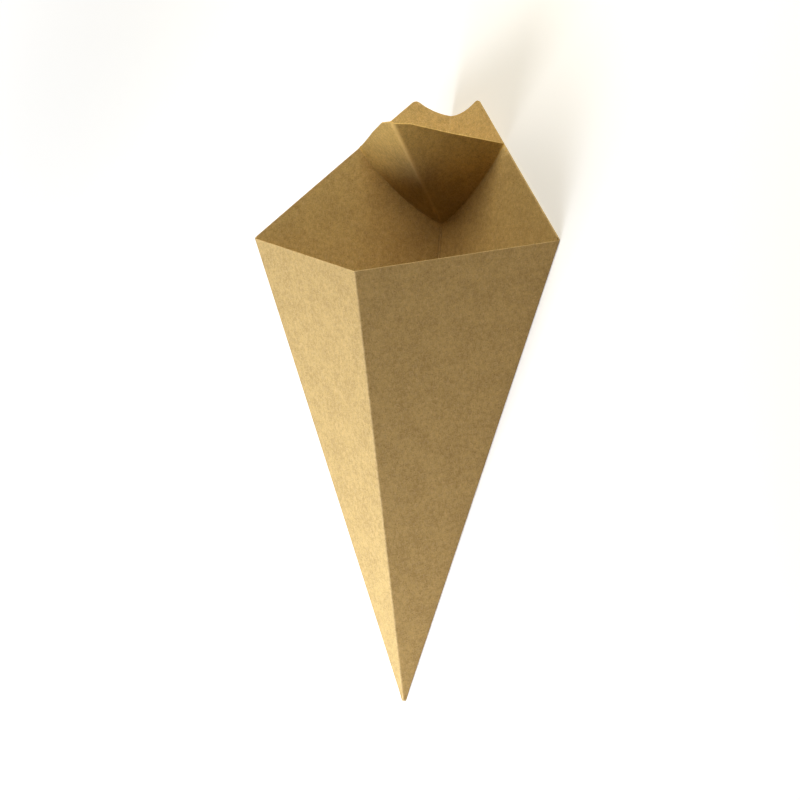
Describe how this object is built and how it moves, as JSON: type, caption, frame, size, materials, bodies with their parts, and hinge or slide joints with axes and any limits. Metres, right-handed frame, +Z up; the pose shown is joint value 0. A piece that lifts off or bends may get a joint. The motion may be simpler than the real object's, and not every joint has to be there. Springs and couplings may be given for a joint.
{
  "type": "paper cone with sauce compartment",
  "caption": "Four-sided pointed takeaway cone folded from brown kraft board, open at its mouth, with a sauce pocket popped forward from its doubled back and a thumb notch above it.",
  "frame": {"origin": "centre of the box's footprint, on the surface that the cone lies on", "axes": "+Z up from the right back panel that the cone lies on, +Y along the cone's axis over that surface, from the tip to the mouth"},
  "size_m": [0.1186, 0.2452, 0.0695],
  "materials": {
    "kraft_board": "uncoated brown kraft board, matt, with faint fibres and flecks"
  },
  "bodies": {
    "root": {"folded_cone": "kraft_board"}
  },
  "joints": []
}
